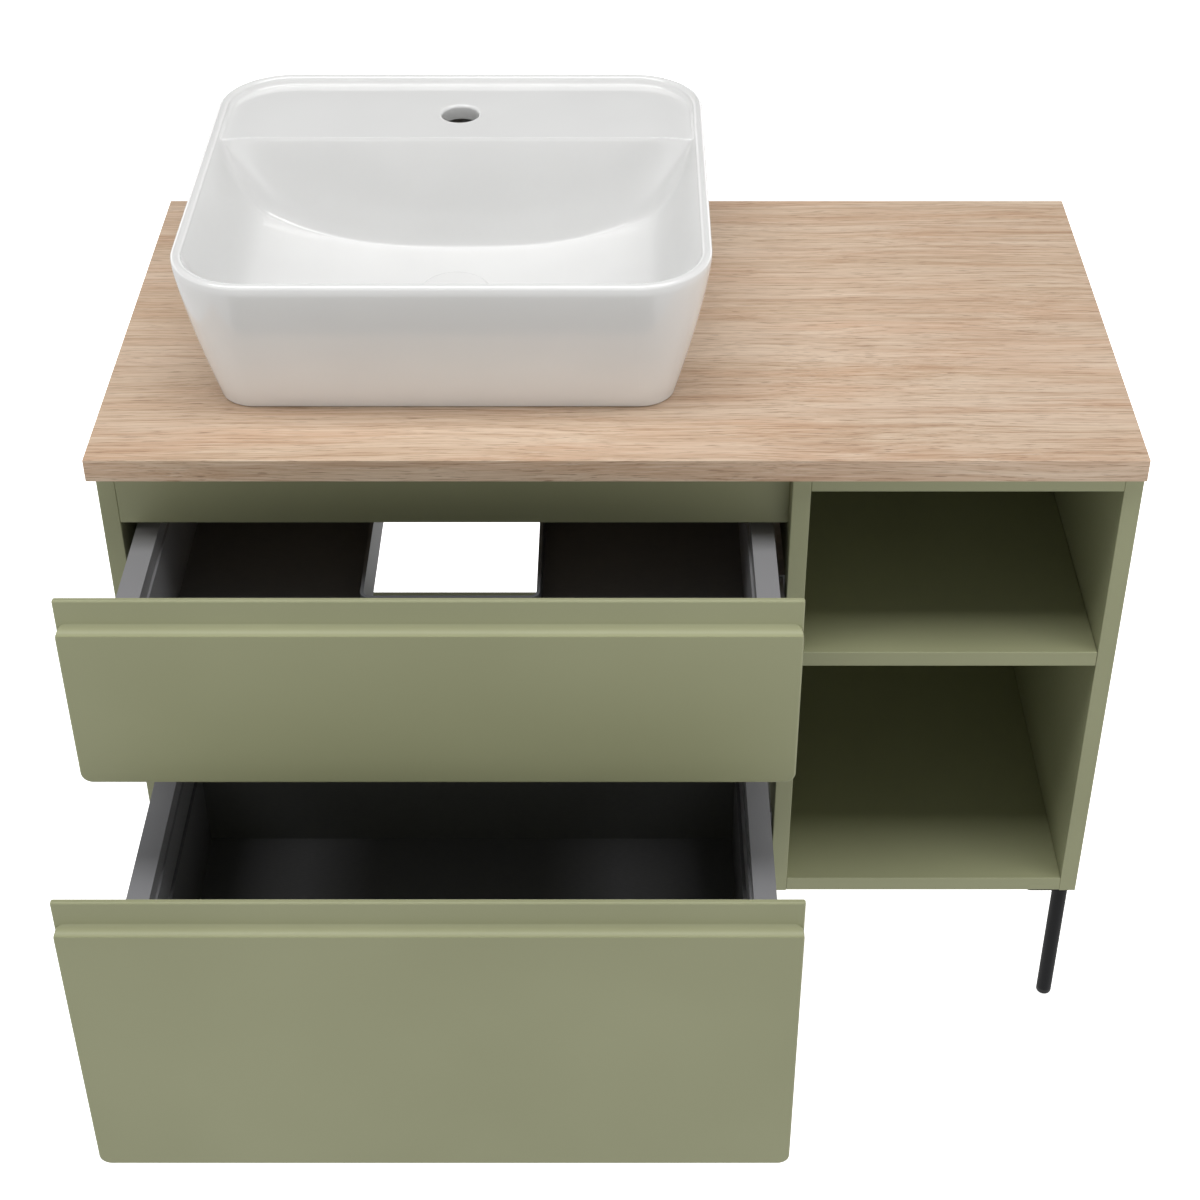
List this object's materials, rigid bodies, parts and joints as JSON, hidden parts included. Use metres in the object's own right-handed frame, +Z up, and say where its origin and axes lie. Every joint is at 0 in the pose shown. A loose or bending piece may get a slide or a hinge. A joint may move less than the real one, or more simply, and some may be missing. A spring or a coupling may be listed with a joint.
{
  "type": "vessel sink vanity unit",
  "caption": "Countertop basin on an oak-look worktop over a sage cabinet with two lipped drawers, an open shelved niche and slim black legs.",
  "frame": {"origin": "on the floor, at the middle of the floor rectangle that the cabinet with its drawers as stored covers", "axes": "+X to the right of a person facing the fronts, +Y towards the wall, +Z up"},
  "size_m": [0.9, 0.771, 0.814],
  "materials": {
    "oak_worktop": "oak-grain laminate on board, satin",
    "sage_lacquer": "MDF with satin sage green lacquer",
    "zinc_steel": "zinc-plated pressed steel",
    "beech_dowel": "fluted beech dowel",
    "clear_bumper": "soft clear elastomer",
    "black_coat": "black powder coat",
    "black_plastic": "moulded black plastic",
    "basin_glaze": "white gloss glaze",
    "chrome_waste": "chrome plate",
    "waste_rubber": "black rubber seal",
    "waste_brass": "turned brass",
    "grey_coat": "grey powder coat on folded steel",
    "anthracite_board": "anthracite melamine-faced board",
    "grey_liner": "moulded grey plastic edging",
    "white_plastic": "moulded white plastic"
  },
  "bodies": {
    "cabinet": {"worktop": "oak_worktop", "worktop_angles": "zinc_steel", "worktop_screws": "zinc_steel", "left_side_panel": "sage_lacquer", "divider_panel": "sage_lacquer", "right_side_panel": "sage_lacquer", "drawer_bay_bottom": "sage_lacquer", "niche_bottom": "sage_lacquer", "niche_top": "sage_lacquer", "niche_shelf": "sage_lacquer", "niche_back": "sage_lacquer", "front_rail": "sage_lacquer", "hanging_rail": "sage_lacquer", "joint_dowels": "beech_dowel", "shelf_pins": "zinc_steel", "leg_front_left": "black_coat", "leg_front_right": "black_coat", "leg_rear_left": "black_coat", "leg_rear_right": "black_coat", "leg_plates": "black_coat", "leg_glides": "black_plastic", "leg_screws": "zinc_steel", "basin": "basin_glaze", "waste_body": "chrome_waste", "waste_flange_seal": "waste_rubber", "waste_washer": "waste_rubber", "waste_back_nut": "waste_brass", "lower_drawer_runner_cabinet_rails": "zinc_steel", "upper_drawer_runner_cabinet_rails": "zinc_steel", "runner_screws": "zinc_steel"},
    "lower_drawer": {"lower_drawer_front": "sage_lacquer", "lower_drawer_bumpers": "clear_bumper", "lower_drawer_side_left": "grey_coat", "lower_drawer_side_right": "grey_coat", "lower_drawer_side_board_left": "anthracite_board", "lower_drawer_side_board_right": "anthracite_board", "lower_drawer_bottom": "anthracite_board", "lower_drawer_back": "anthracite_board", "lower_drawer_fixing_blocks": "white_plastic", "lower_drawer_front_screws": "zinc_steel", "lower_drawer_rear_brackets": "zinc_steel", "lower_drawer_runner_drawer_rails": "zinc_steel"},
    "upper_drawer": {"upper_drawer_front": "sage_lacquer", "upper_drawer_bumpers": "clear_bumper", "upper_drawer_side_left": "grey_coat", "upper_drawer_side_right": "grey_coat", "upper_drawer_bottom": "anthracite_board", "upper_drawer_cutout_liner": "grey_liner", "upper_drawer_back_left": "anthracite_board", "upper_drawer_back_right": "anthracite_board", "upper_drawer_fixing_blocks": "white_plastic", "upper_drawer_front_screws": "zinc_steel", "upper_drawer_rear_brackets": "zinc_steel", "upper_drawer_runner_drawer_rails": "zinc_steel"},
    "lower_runner_middle": {"lower_drawer_runner_middle_rails": "zinc_steel"},
    "upper_runner_middle": {"upper_drawer_runner_middle_rails": "zinc_steel"},
    "waste_plug": {"waste_cap": "basin_glaze"}
  },
  "joints": [
    {"name": "lower_drawer_slide", "type": "slide", "parent": "cabinet", "child": "lower_drawer", "axis": [0, -1, 0], "range_m": [-0.319, 0.021]},
    {"name": "lower_runner_slide", "type": "slide", "parent": "cabinet", "child": "lower_runner_middle", "axis": [0, -1, 0], "range_m": [-0.1595, 0.0105]},
    {"name": "upper_drawer_slide", "type": "slide", "parent": "cabinet", "child": "upper_drawer", "axis": [0, -1, 0], "range_m": [-0.176, 0.164]},
    {"name": "upper_runner_slide", "type": "slide", "parent": "cabinet", "child": "upper_runner_middle", "axis": [0, -1, 0], "range_m": [-0.088, 0.082]},
    {"name": "waste_plug_lift", "type": "slide", "parent": "cabinet", "child": "waste_plug", "axis": [0, 0, 1], "range_m": [0, 0.008]}
  ],
  "couplings": [
    {"joint": "lower_runner_slide", "follows": "lower_drawer_slide", "ratio": 0.5},
    {"joint": "upper_runner_slide", "follows": "upper_drawer_slide", "ratio": 0.5}
  ]
}
